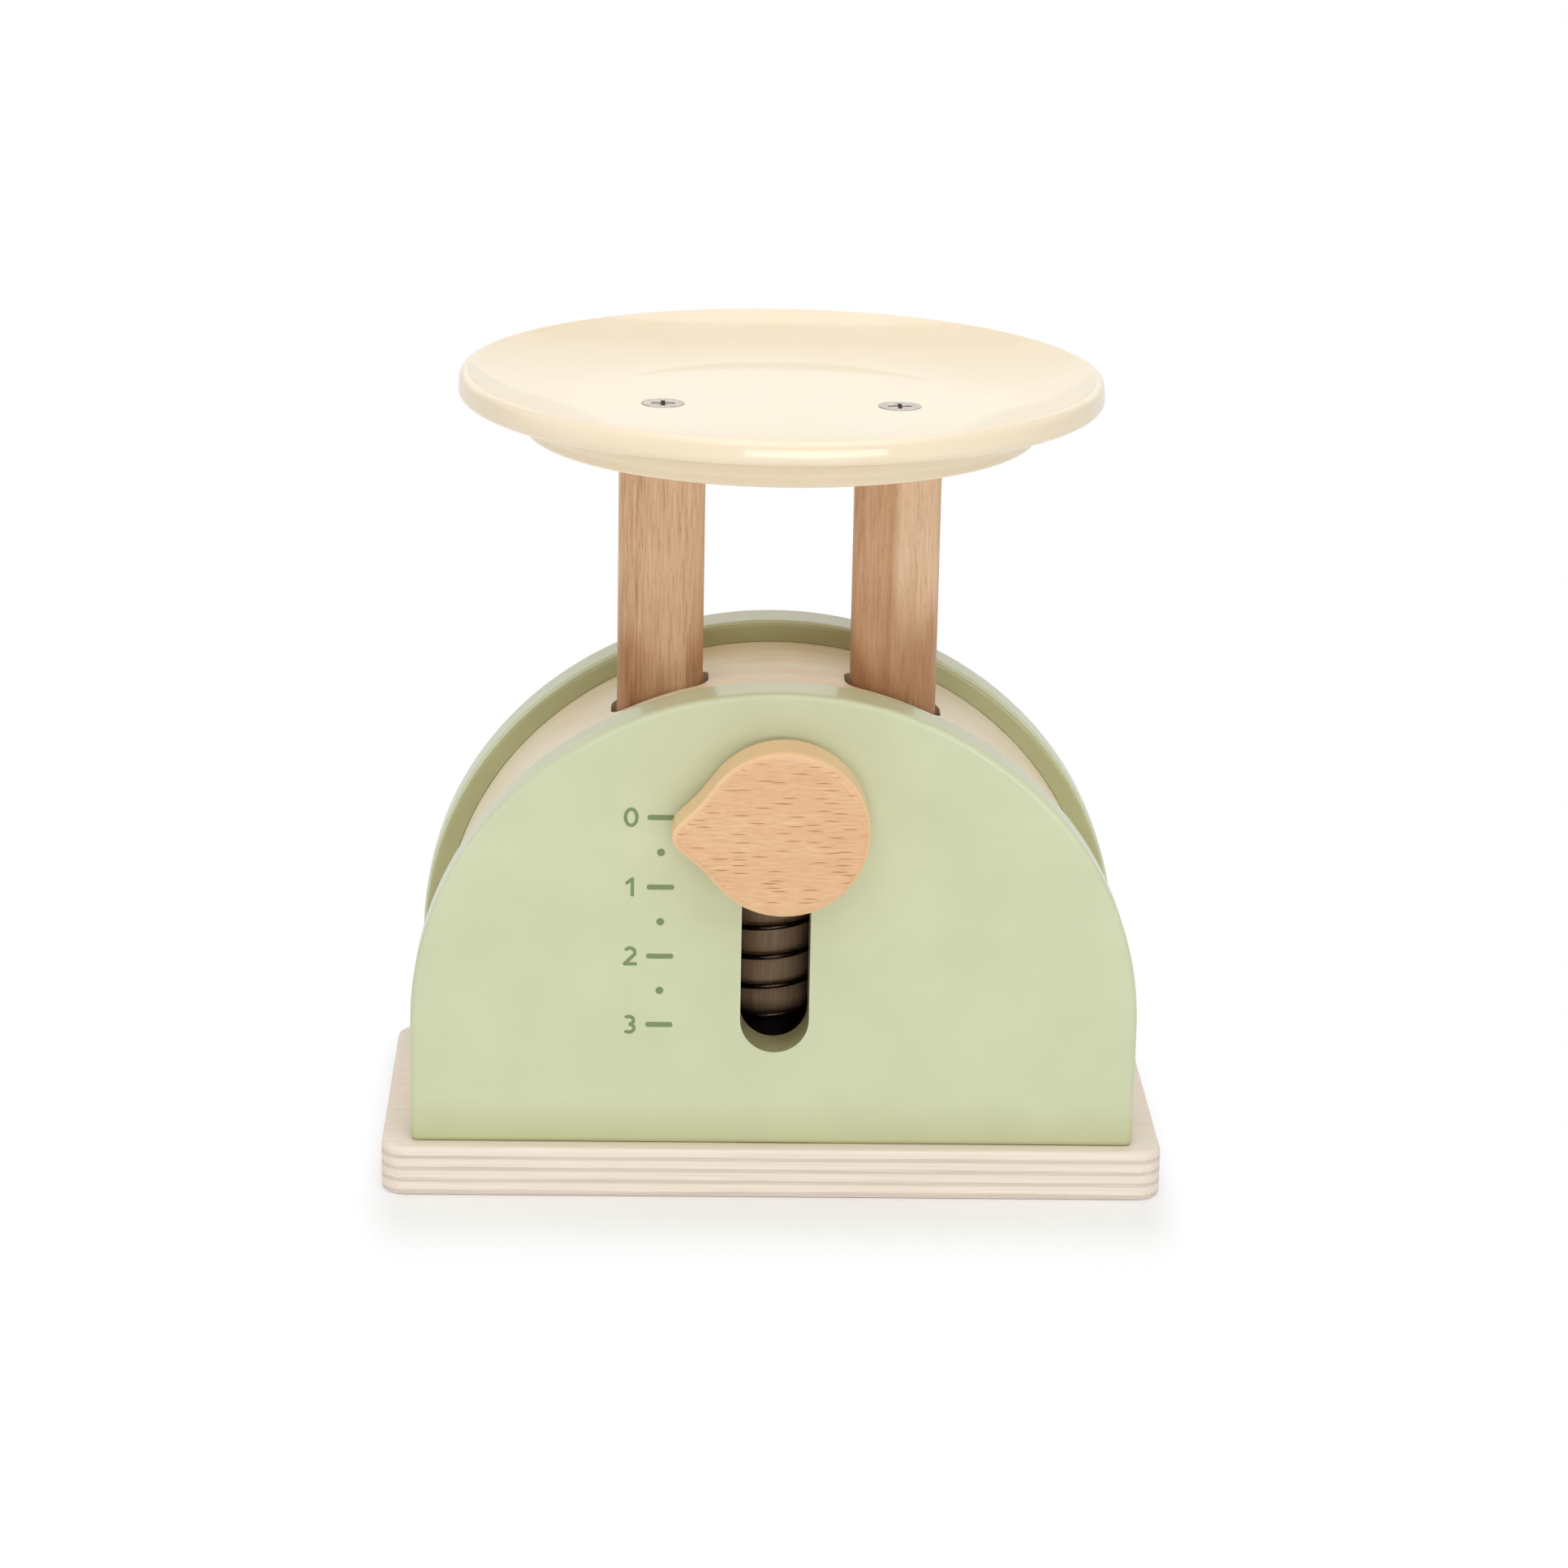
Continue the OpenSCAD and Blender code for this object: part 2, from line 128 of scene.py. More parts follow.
def joinShader(tree, shader, colour, height, relief):
    # relief is how strongly the height shows as a bump, and how deep it is in mm
    tree.links.new(colour, shader.inputs["Base Color"])
    strength, depth = relief
    bump = addNode(
        tree, "ShaderNodeBump", {"Strength": strength, "Distance": depth * mm}, {"Height": height}
    )
    tree.links.new(bump.outputs[0], shader.inputs["Normal"])


# Sprayed lacquer on sanded wood: even colour, a soft orange peel and a clear gloss
lacquer = {
    "ior": 1.42,  # just under the usual 1.5, because the edges gloss weakly
    "peelSize": 1.6,  # mm between the bumps of the orange peel
    "peelRelief": (0.25, 0.01),
    "cloudSize": 14.0,  # mm, very faint changes of tone
    "cloudLevels": (0.3, 0.7),  # noise levels of the shade and of the base colour
    # painted shade at a panel's foot: darker and yellower towards the base
    "footFrom": 11.0,  # mm, height at which the painted shade at a panel's foot is deepest
    "footTo": 20.0,  # mm, height above which a panel carries no painted shade at its foot
    "footShade": "#EFEDDC",
    "innerFace": 23.2,  # mm from the middle plane: within it, on the inner faces, the lacquer carries painted shade
    "innerShade": "#DDD6C2",
    "slotInside": (7.2, 32.6, 88.0),  # mm along X, Y and Z: within them are the slot's walls, which carry painted shade
    "slotShade": "#E2D5C2",
}
greenSpray = {
    "base": "#D1D7B2",
    "shade": "#CCD2AD",
    "roughness": 0.38,
    "coat": 0.3,
    "coatRoughness": 0.07,
}
creamSpray = {
    "base": "#F6E5C7",
    "shade": "#F4E2C2",
    "roughness": 0.36,
    "coat": 0.55,
    "coatRoughness": 0.06,
}


def panelShades(tree, place):
    # where a panel's foot, inner face and slot are, each with the painted shade laid over it there
    height = addNode(tree, "ShaderNodeSeparateXYZ", None, {0: place}).outputs[2]
    foot = addNode(
        tree, "ShaderNodeMapRange",
        {"From Min": lacquer["footTo"] * mm, "From Max": lacquer["footFrom"] * mm},
        {"Value": height},
    ).outputs[0]
    folded = addNode(
        tree, "ShaderNodeVectorMath", {"operation": "ABSOLUTE"}, {0: place}
    ).outputs[0]
    away = addNode(tree, "ShaderNodeSeparateXYZ", None, {0: folded}).outputs
    limits = [*zip(away, lacquer["slotInside"]), (away[1], lacquer["innerFace"])]
    *near, inner = [
        addNode(
            tree, "ShaderNodeMath", {"operation": "LESS_THAN", 1: limit * mm}, {0: distance}
        ).outputs[0]
        for distance, limit in limits
    ]
    inSlot = near[0]
    for nearToo in near[1:]:
        inSlot = addNode(
            tree, "ShaderNodeMath", {"operation": "MULTIPLY"}, {0: inSlot, 1: nearToo}
        ).outputs[0]
    return (
        (foot, lacquer["footShade"]),
        (inner, lacquer["innerShade"]),
        (inSlot, lacquer["slotShade"]),
    )


def sprayedLacquer(name, spray, panel=False):
    material, tree, shader, place = newMaterial(name, {
        "Roughness": spray["roughness"], "IOR": lacquer["ior"],
        "Coat Weight": spray["coat"], "Coat Roughness": spray["coatRoughness"],
    })
    cloud = addNode(
        tree, "ShaderNodeTexNoise",
        {"Scale": 1 / (lacquer["cloudSize"] * mm), "Detail": 2.0}, {"Vector": place},
    ).outputs[0]
    tones = list(zip(lacquer["cloudLevels"], (spray["shade"], spray["base"])))
    colour = addNode(tree, "ShaderNodeValToRGB", {"stops": tones}, {0: cloud}).outputs[0]
    # painted shade on the panels: at the foot, on the inner faces and on the slot's walls
    if panel:
        for where, shade in panelShades(tree, place):
            colour = addNode(
                tree, "ShaderNodeMix", {**shadeOver, 7: linear(shade)}, {0: where, 6: colour}
            ).outputs[2]
    peel = addNode(
        tree, "ShaderNodeTexNoise",
        {"Scale": 1 / (lacquer["peelSize"] * mm), "Detail": 1.0}, {"Vector": place},
    ).outputs[0]
    joinShader(tree, shader, colour, peel, lacquer["peelRelief"])
    return material


# Sanded beech: pinkish brown, fine straight fibres and short dark flecks along the grain
postGrain = {
    "fibreWidth": 0.34,  # mm, bundles of fibres, because single ones are too fine to show
    "fibreLength": 9.0,  # mm
    "bandWidth": 4.0,  # mm, slow change between lighter and darker wood
    "bandLength": 90.0,  # mm
    "bands": 0.42,  # share of the bands in the tone, the rest comes from the fibres
    "toneLevels": (0.35, 0.5, 0.65),  # noise levels of the dark, middle and light tones
    "fleckWidth": 0.7,  # mm between flecks
    "fleckLength": 8.0,  # mm
    "fleckShape": (0.05, 0.14),  # where a fleck starts to fade and ends, in gaps between flecks
    "scatter": 0.85,  # 0 would set the flecks out in rows
    "flecks": 0.32,  # how strong they are
    "broadFace": (0.86, 0.97),  # flecks come in as the surface turns to the broad side, 1 is flat
    "roughness": 0.55,
    "relief": (0.3, 0.04),
}
# Varnished beech: warmer and glossier, with longer and darker flecks, and painted light on the rim
knobGrain = {
    **postGrain,
    "fibreWidth": 0.4,
    "fibreLength": 5.0,
    "bandWidth": 5.0,
    "bandLength": 60.0,
    "bands": 0.3,
    "fleckWidth": 0.9,
    "fleckLength": 15.0,
    "fleckShape": (0.06, 0.14),
    "scatter": 1.0,
    "flecks": 0.8,
    "rimFace": (0.55, 0.95),  # painted light: the rim's lighter tone fades out as the surface turns to the broad side
    "roughness": 0.27,
}
# The posts, sanded beech that has slid through the cover: greyer and darker towards the cover,
# partly painted shade from it and partly smudges where the wood rubs
shadedRubbedGrain = {
    **postGrain,
    "shadedAndRubbed": (128.0, 102.0),  # mm, heights where the painted shade and rubbing start and where they are full
    "rubAndPaintedShade": "#C8B29C",
    "smudgeLength": 26.0,  # mm, the patches of the shaded and rubbed end
    "smudgeWidth": 9.0,  # mm
    "smudges": ((0.38, 0.2), (0.62, 1.0)),  # noise levels, and how much of the painted shade and rubbing shows at each
}
# Turned ramin: plain and greyer, with a painted shadow that turns it black at the foot, low in the
# slot
dowelGrain = {
    **postGrain,
    "roughness": 0.5,
    "foot": (29.5, 33.0),  # mm, heights up to which the painted shadow is black and from which there is none
}
# One growth ring runs down the right post, and the wood is darker on its inner side
growthRing = {
    "x": 22.8,  # mm from the middle plane
    "fade": 9.0,  # mm, the shade deepens over this width up to the ring
    "edge": 2.0,  # mm, and ends over this width past it
    "wander": 1.2,  # mm that the ring strays
    "close": 0.1,  # how far before the ring it deepens fast, as a share of both widths
    "levels": (0.5, 0.7, 0.95, 0.05),  # at the start, close to the ring, on it and past it
    "shade": "#DEC6B0",
}
postTones = {"dark": "#C0946D", "middle": "#E2B993", "light": "#EDCBA6", "fleck": "#94653F"}
paleTones = {"dark": "#CDA27D", "middle": "#E9C39F", "light": "#F1D3B1", "fleck": "#9A6E46"}
knobTones = {
    "dark": "#DCA979", "middle": "#E5B68A", "light": "#ECC398", "fleck": "#94592A",
    "rim": "#F6CFA0",  # painted light: the rim is paler and yellower than the face
}
# the dowel's foot tone is the colour of its painted shadow
dowelTones = {"dark": "#B0906F", "middle": "#C8A685", "light": "#D8BA9A", "foot": "#1C1613"}
# degrees that turn the grain along the pattern's X, and the broad face into its X and Y
grainAlongX = (-90, -5, 0)
grainAlongZ = (90, 0, 90)
grainAlongY = (0, 0, -90)


def drawnOut(length, width):
    # what the pattern's space is multiplied by: mm along the grain, then across it
    return 1 / (length * mm), 1 / (width * mm), 1 / (width * mm)


def fleckWood(tree, wood, tones, grain, along, normal):
    size = drawnOut(grain["fleckLength"], grain["fleckWidth"])
    space = addNode(
        tree, "ShaderNodeVectorMath", {"operation": "MULTIPLY", 1: size}, {0: along}
    ).outputs[0]
    gaps = addNode(
        tree, "ShaderNodeTexVoronoi",
        {"voronoi_dimensions": "2D", "Scale": 1.0, "Randomness": grain["scatter"]},
        {"Vector": space},
    ).outputs["Distance"]
    start, end = grain["fleckShape"]
    shape = addNode(
        tree, "ShaderNodeValToRGB", {"stops": [(start, 1.0), (end, 0.0)]}, {0: gaps}
    ).outputs[0]
    # flecks show on the broad faces alone
    either = addNode(
        tree, "ShaderNodeVectorMath", {"operation": "ABSOLUTE"}, {0: normal}
    ).outputs[0]
    facing = addNode(tree, "ShaderNodeSeparateXYZ", None, {0: either}).outputs[2]
    start, end = grain["broadFace"]
    broad = addNode(
        tree, "ShaderNodeValToRGB", {"stops": [(start, 0.0), (end, grain["flecks"])]}, {0: facing}
    ).outputs[0]
    amount = addNode(
        tree, "ShaderNodeMath", {"operation": "MULTIPLY"}, {0: shape, 1: broad}
    ).outputs[0]
    wood = addNode(
        tree, "ShaderNodeMix", {"data_type": "RGBA", 7: linear(tones["fleck"])},
        {0: amount, 6: wood},
    ).outputs[2]
    # painted light on the knob's rim, paler where the surface turns away from the broad side
    if "rim" in tones:
        start, end = grain["rimFace"]
        rim = addNode(
            tree, "ShaderNodeValToRGB", {"stops": [(start, 1.0), (end, 0.0)]}, {0: facing}
        ).outputs[0]
        wood = addNode(
            tree, "ShaderNodeMix", {"data_type": "RGBA", 7: linear(tones["rim"])},
            {0: rim, 6: wood},
        ).outputs[2]
    return wood


def ringWood(tree, wood, ring, place, bands):
    side = addNode(tree, "ShaderNodeSeparateXYZ", None, {0: place}).outputs[0]
    stray = addNode(
        tree, "ShaderNodeMath",
        {"operation": "MULTIPLY_ADD", 1: ring["wander"] * mm, 2: -ring["wander"] / 2 * mm},
        {0: bands},
    ).outputs[0]
    side = addNode(tree, "ShaderNodeMath", {"operation": "ADD"}, {0: side, 1: stray}).outputs[0]
    low, high = ring["x"] - ring["fade"], ring["x"] + ring["edge"]
    reach = addNode(
        tree, "ShaderNodeMapRange", {"From Min": low * mm, "From Max": high * mm}, {"Value": side}
    ).outputs[0]
    at = ring["fade"] / (high - low)
    stops = list(zip((0.0, at - ring["close"], at, 1.0), ring["levels"]))
    amount = addNode(tree, "ShaderNodeValToRGB", {"stops": stops}, {0: reach}).outputs[0]
    return addNode(
        tree, "ShaderNodeMix", {**shadeOver, 7: linear(ring["shade"])}, {0: amount, 6: wood}
    ).outputs[2]


def shadeAndRubWood(tree, wood, grain, place, along):
    # the end that slides through the cover is darker, partly painted shade near the cover and
    # partly rubbing, in soft patches
    height = addNode(tree, "ShaderNodeSeparateXYZ", None, {0: place}).outputs[2]
    clean, shadedAndRubbed = grain["shadedAndRubbed"]
    where = addNode(
        tree, "ShaderNodeMapRange",
        {"interpolation_type": "SMOOTHSTEP", "From Min": clean * mm, "From Max": shadedAndRubbed * mm},
        {"Value": height},
    ).outputs[0]
    size = drawnOut(grain["smudgeLength"], grain["smudgeWidth"])
    space = addNode(
        tree, "ShaderNodeVectorMath", {"operation": "MULTIPLY", 1: size}, {0: along}
    ).outputs[0]
    smudge = addNode(
        tree, "ShaderNodeTexNoise", {"Scale": 1.0, "Detail": 1.0}, {"Vector": space}
    ).outputs[0]
    patches = addNode(
        tree, "ShaderNodeValToRGB", {"stops": grain["smudges"]}, {0: smudge}
    ).outputs[0]
    amount = addNode(
        tree, "ShaderNodeMath", {"operation": "MULTIPLY"}, {0: where, 1: patches}
    ).outputs[0]
    return addNode(
        tree, "ShaderNodeMix", {**shadeOver, 7: linear(grain["rubAndPaintedShade"])},
        {0: amount, 6: wood},
    ).outputs[2]


# painted shadow: the dowel goes black towards its foot
def paintShadowAtFoot(tree, wood, tones, grain, place):
    height = addNode(tree, "ShaderNodeSeparateXYZ", None, {0: place}).outputs[2]
    fullShadow, clean = grain["foot"]
    where = addNode(
        tree, "ShaderNodeMapRange", {"From Min": fullShadow * mm, "From Max": clean * mm},
        {"Value": height},
    ).outputs[0]
    return addNode(
        tree, "ShaderNodeMix", {"data_type": "RGBA", 6: linear(tones["foot"])}, {0: where, 7: wood}
    ).outputs[2]


def sandedWood(name, turn, tones, grain, ring=None):
    material, tree, shader, place = newMaterial(
        name, {"Roughness": grain["roughness"], "IOR": 1.5}
    )
    turned = {"Rotation": [math.radians(t) for t in turn]}
    along = addNode(tree, "ShaderNodeMapping", turned, {"Vector": place}).outputs[0]
    noises = []
    for part, settings in (
        ("fibre", {"Scale": 1.0, "Detail": 4.0, "Roughness": 0.6}),
        ("band", {"Scale": 1.0, "Detail": 2.0, "Distortion": 0.5}),
    ):
        size = drawnOut(grain[part + "Length"], grain[part + "Width"])
        space = addNode(
            tree, "ShaderNodeVectorMath", {"operation": "MULTIPLY", 1: size}, {0: along}
        ).outputs[0]
        noises.append(
            addNode(tree, "ShaderNodeTexNoise", settings, {"Vector": space}).outputs[0]
        )
    fibres, bands = noises
    mixed = addNode(
        tree, "ShaderNodeMix", {"data_type": "FLOAT", 0: grain["bands"]}, {2: fibres, 3: bands}
    ).outputs[0]
    stops = list(zip(grain["toneLevels"], (tones["dark"], tones["middle"], tones["light"])))
    wood = addNode(tree, "ShaderNodeValToRGB", {"stops": stops}, {0: mixed}).outputs[0]
    if "fleck" in tones:
        normal = {"Vector": place.node.outputs["Normal"]}
        normal = addNode(tree, "ShaderNodeMapping", turned, normal).outputs[0]
        wood = fleckWood(tree, wood, tones, grain, along, normal)
    if ring:
        wood = ringWood(tree, wood, ring, place, bands)
    if "shadedAndRubbed" in grain:
        wood = shadeAndRubWood(tree, wood, grain, place, along)
    if "foot" in grain:
        wood = paintShadowAtFoot(tree, wood, tones, grain, place)
    joinShader(tree, shader, wood, fibres, grain["relief"])
    return material


# Birch plywood: pale veneer on top, and thin end-grain plies that show greyer on the edges
plywood = {
    "plyPair": 2.5,  # mm, one light ply with one grey ply
    "firstGrey": 0.9,  # mm, height of the middle of the lowest grey ply
    "greyLevels": ((0.1, 0.0), (0.8, 1.0)),  # levels of the plies' wave, and how grey each is
    "wander": 0.7,  # mm that the plies stray
    "veneer": 9.4,  # mm, height from which only the top veneer shows
    "fibreWidth": 0.35,  # mm, bundles of fibres, because single ones are too fine to show
    "fibreLength": 30.0,  # mm
    "light": ((0.35, "#EADACA"), (0.65, "#F5E9DB")),  # noise levels of the tones
    "grey": ((0.35, "#D0C2B4"), (0.65, "#E1D4C6")),
    "roughness": 0.5,
    "relief": (0.2, 0.04),
}


def birchPlywood(name, ply):
    material, tree, shader, place = newMaterial(name, {"Roughness": ply["roughness"], "IOR": 1.5})
    height = addNode(tree, "ShaderNodeSeparateXYZ", None, {0: place}).outputs[2]
    size = drawnOut(ply["fibreLength"], ply["fibreWidth"])
    grain = addNode(
        tree, "ShaderNodeVectorMath", {"operation": "MULTIPLY", 1: size}, {0: place}
    ).outputs[0]
    fibres = addNode(
        tree, "ShaderNodeTexNoise", {"Scale": 1.0, "Detail": 4.0, "Roughness": 0.65},
        {"Vector": grain},
    ).outputs[0]
    # the fibres push the height that the wave reads, so the plies stray a little
    stray = addNode(
        tree, "ShaderNodeMath",
        {"operation": "MULTIPLY_ADD", 1: ply["wander"] * mm, 2: -ply["wander"] / 2 * mm},
        {0: fibres},
    ).outputs[0]
    pushed = addNode(
        tree, "ShaderNodeMath", {"operation": "ADD"}, {0: height, 1: stray}
    ).outputs[0]
    turns = 2 * math.pi / (ply["plyPair"] * mm)
    start = -turns * ply["firstGrey"] * mm
    phase = addNode(
        tree, "ShaderNodeMath", {"operation": "MULTIPLY_ADD", 1: turns, 2: start}, {0: pushed}
    ).outputs[0]
    wave = addNode(tree, "ShaderNodeMath", {"operation": "COSINE"}, {0: phase}).outputs[0]
    greys = addNode(
        tree, "ShaderNodeValToRGB", {"stops": ply["greyLevels"]}, {0: wave}
    ).outputs[0]
    below = addNode(
        tree, "ShaderNodeMath", {"operation": "LESS_THAN", 1: ply["veneer"] * mm}, {0: height}
    ).outputs[0]
    edge = addNode(
        tree, "ShaderNodeMath", {"operation": "MULTIPLY"}, {0: greys, 1: below}
    ).outputs[0]
    light, grey = (
        addNode(tree, "ShaderNodeValToRGB", {"stops": ply[key]}, {0: fibres}).outputs[0]
        for key in ("light", "grey")
    )
    colour = addNode(
        tree, "ShaderNodeMix", {"data_type": "RGBA"}, {0: edge, 6: light, 7: grey}
    ).outputs[2]
    joinShader(tree, shader, colour, fibres, ply["relief"])
    return material


# Thin birch veneer bent over the arch: smooth and satin, faint peach bands follow the bend
veneer = {
    "bandWidth": 1.6,  # mm across the grain, which runs along X and Z round the arch
    "bandLength": 70.0,  # mm
    "patch": 14.0,  # mm, slow change of tone
    "patches": 0.4,  # share of the patches in the tone, the rest comes from the bands
    "tones": ((0.38, "#F8E5C3"), (0.5, "#FCEFD2"), (0.62, "#FEF6DE")),  # with noise levels
    "roughness": 0.38,
    "relief": (0.15, 0.03),
}


def bentVeneer(name, look):
    material, tree, shader, place = newMaterial(
        name, {"Roughness": look["roughness"], "IOR": 1.5}
    )
    along, across = 1 / (look["bandLength"] * mm), 1 / (look["bandWidth"] * mm)
    grain = addNode(
        tree, "ShaderNodeVectorMath", {"operation": "MULTIPLY", 1: (along, across, along)},
        {0: place},
    ).outputs[0]
    bands = addNode(
        tree, "ShaderNodeTexNoise", {"Scale": 1.0, "Detail": 4.0, "Roughness": 0.6},
        {"Vector": grain},
    ).outputs[0]
    patches = addNode(
        tree, "ShaderNodeTexNoise", {"Scale": 1 / (look["patch"] * mm), "Detail": 1.0},
        {"Vector": place},
    ).outputs[0]
    mixed = addNode(
        tree, "ShaderNodeMix", {"data_type": "FLOAT", 0: look["patches"]},
        {2: bands, 3: patches},
    ).outputs[0]
    colour = addNode(tree, "ShaderNodeValToRGB", {"stops": look["tones"]}, {0: mixed}).outputs[0]
    joinShader(tree, shader, colour, bands, look["relief"])
    return material


# Steel with a fine cloudy grain: zinc plate is bright, and oiled spring wire is dark brown
steelGrain = {
    "size": 0.8,  # mm, coarser than real plating, whose grain is too fine to show
    "levels": (0.35, 0.65),  # noise levels of the dark and the light tone
    "relief": (0.2, 0.01),
}
zincPlating = {"dark": "#978F86", "light": "#C6BDB3", "roughness": 0.3}
oiledWire = {"dark": "#42362E", "light": "#5C4C41", "roughness": 0.34}


def cloudySteel(name, steel):
    material, tree, shader, place = newMaterial(
        name, {"Metallic": 1.0, "Roughness": steel["roughness"]}
    )
    grain = addNode(
        tree, "ShaderNodeTexNoise", {"Scale": 1 / (steelGrain["size"] * mm), "Detail": 4.0},
        {"Vector": place},
    ).outputs[0]
    tones = list(zip(steelGrain["levels"], (steel["dark"], steel["light"])))
    colour = addNode(tree, "ShaderNodeValToRGB", {"stops": tones}, {0: grain}).outputs[0]
    joinShader(tree, shader, colour, grain, steelGrain["relief"])
    return material


# Screen-printed ink: flat, a little uneven where it lies on the lacquer
ink = {
    "patch": 0.5,  # mm between thinner and fuller places
    "tones": ((0.3, "#7F9163"), (0.7, "#718657")),  # with noise levels
    "roughness": 0.45,
}


def printedInk(name, look):
    material, tree, shader, place = newMaterial(
        name, {"Roughness": look["roughness"], "IOR": 1.5}
    )
    patches = addNode(
        tree, "ShaderNodeTexNoise", {"Scale": 1 / (look["patch"] * mm), "Detail": 2.0},
        {"Vector": place},
    ).outputs[0]
    colour = addNode(
        tree, "ShaderNodeValToRGB", {"stops": look["tones"]}, {0: patches}
    ).outputs[0]
    tree.links.new(colour, shader.inputs["Base Color"])
    return material


greenLacquer = sprayedLacquer("greenLacquer", greenSpray, panel=True)
creamLacquer = sprayedLacquer("creamLacquer", creamSpray)
leftBeech = sandedWood("leftPostBeech", grainAlongZ, postTones, shadedRubbedGrain)
rightBeech = sandedWood("rightPostBeech", grainAlongZ, paleTones, shadedRubbedGrain, growthRing)
crossBeech = sandedWood("crossBeech", grainAlongX, postTones, postGrain)
stemBeech = sandedWood("stemBeech", grainAlongY, postTones, postGrain)
varnishedBeech = sandedWood("varnishedBeech", grainAlongX, knobTones, knobGrain)
raminDowel = sandedWood("raminDowel", grainAlongZ, dowelTones, dowelGrain)
basePlywood = birchPlywood("birchPlywood", plywood)
coverVeneer = bentVeneer("bentBirchVeneer", veneer)
zincPlate = cloudySteel("zincPlatedSteel", zincPlating)
springSteel = cloudySteel("oiledSpringSteel", oiledWire)
scaleInk = printedInk("scaleInk", ink)

nodeFinish = {  # the screws, which aren't listed, are zinc plated
    "base_plate": basePlywood,
    "front_panel": greenLacquer,
    "rear_panel": greenLacquer,
    "arch_cover": coverVeneer,
    "guide_dowel": raminDowel,
    "dish": creamLacquer,
    "left_post": leftBeech,
    "right_post": rightBeech,
    "crosshead": crossBeech,
    "pointer_stem": stemBeech,
    "pointer_knob": varnishedBeech,
    "return_spring": springSteel,
}
for nodeName, node in nodes.items():
    node.data.materials.clear()
    node.data.materials.append(nodeFinish.get(nodeName, zincPlate))
print("materials on every node")


# New pieces


def finishPiece(name, mesh, material, body, smoothAngle=35):  # degrees
    bmesh.ops.recalc_face_normals(mesh, faces=mesh.faces)
    data = bpy.data.meshes.new(name)
    mesh.to_mesh(data)
    mesh.free()
    data.shade_smooth()
    data.set_sharp_from_angle(angle=math.radians(smoothAngle))
    data.materials.append(material)
    piece = bpy.data.objects.new(name, data)
    bpy.context.scene.collection.objects.link(piece)
    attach(piece, body)
    return piece


# The pointer's knob: a round disc drawn out to a blunt tip, with soft edges
knob = {  # mm
    "radius": 17.2,
    "shift": 1.0,  # from the stem's axis to the middle of the round part
    "tipRadius": 3.4,
    "tipX": -18.0,
    "turn": 2.4,  # degrees, the tip hangs a little
    "edge": 1.6,  # rounding of the rim
    "hollow": 0.5,  # how far the straight flanks draw in at their middle
    "roundSteps": 180,
    "flankSteps": 16,
    "edgeSteps": 6,
    "rimAngle": 60,  # degrees, only the two rims turn more than this
}


def makeKnob(k):
    low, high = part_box("pointer_knob")
    middle = (low.z + high.z) / 2
    # the angle from the tip's direction at which a straight flank leaves either circle
    leave = math.acos((k["radius"] - k["tipRadius"]) / (k["shift"] - k["tipX"]))
    mesh = bmesh.new()
    ends = []
    for radius, x, isRound in (
        (k["radius"], k["shift"], True), (k["tipRadius"], k["tipX"], False)
    ):
        centre = Vector((x * mm, low.y, middle))
        circle = bmesh.ops.create_circle(
            mesh, segments=k["roundSteps"], radius=radius * mm,
            matrix=Matrix.Translation(centre) @ upright,
        )["verts"]
        spare = [v for v in circle if (abs((v.co - centre).angle((-1, 0, 0))) < leave) == isRound]
        bmesh.ops.delete(mesh, geom=spare, context="VERTS")
        kept = [v for v in circle if v.is_valid]
        ends.append(sorted((v for v in kept if len(v.link_edges) == 1), key=lambda v: v.co.z))
    stop, start = (pair[0].co.x for pair in ends)
    flanks = [mesh.edges.new(pair) for pair in zip(*ends)]
    inner = bmesh.ops.subdivide_edges(mesh, edges=flanks, cuts=k["flankSteps"])["geom_inner"]
    for v in (g for g in inner if isinstance(g, bmesh.types.BMVert)):
        along = (v.co.x - start) / (stop - start)
        v.co.z -= math.copysign(
            k["hollow"] * mm * math.sin(math.pi * along) ** 2, v.co.z - middle
        )
    face = bmesh.ops.contextual_create(mesh, geom=mesh.edges[:])["faces"]
    grown = bmesh.ops.extrude_face_region(mesh, geom=face, use_keep_orig=True)["geom"]
    back = [g for g in grown if isinstance(g, bmesh.types.BMVert)]
    bmesh.ops.translate(mesh, vec=(0, high.y - low.y, 0), verts=back)
    bmesh.ops.recalc_face_normals(mesh, faces=mesh.faces)
    rims = [e for e in mesh.edges if e.calc_face_angle(0) > math.radians(k["rimAngle"])]
    bmesh.ops.bevel(
        mesh, geom=rims, offset=k["edge"] * mm, segments=k["edgeSteps"],
        affect="EDGES", profile=0.5, material=-1,
    )
    hang = Matrix.Rotation(-math.radians(k["turn"]), 3, "Y")
    bmesh.ops.rotate(mesh, cent=(0, 0, middle), matrix=hang, verts=mesh.verts)
    piece = finishPiece("pointerKnob", mesh, varnishedBeech, "carriage")
    weighted = piece.modifiers.new("flatFaces", "WEIGHTED_NORMAL")
    weighted.keep_sharp = True
    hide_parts("pointer_knob")


makeKnob(knob)
print("knob made")

# The dish, turned on a lathe: half its outline with each corner rounded, spun round the axis
dish = {
    # mm, from the underside to the floor: radius, height above the underside and rounding
    "outline": (
        (50, 0, 0), (52, 0, 0.8), (52, 2.5, 0.9), (60.1, 7.0, 1.2), (65.5, 7.0, 1.7),
        (64.95, 12.2, 1.4), (63.6, 12.2, 0.7), (53.2, 5.64, 11.0), (40, 5.1, 0),
    ),
    "cornerSteps": 8,
    "steps": 180,
    "screwX": 24,  # mm
    "screwRadius": 4.5,  # mm, the countersunk holes narrow by their depth
    "screwDepth": 2.5,
    "screwSteps": 48,
}


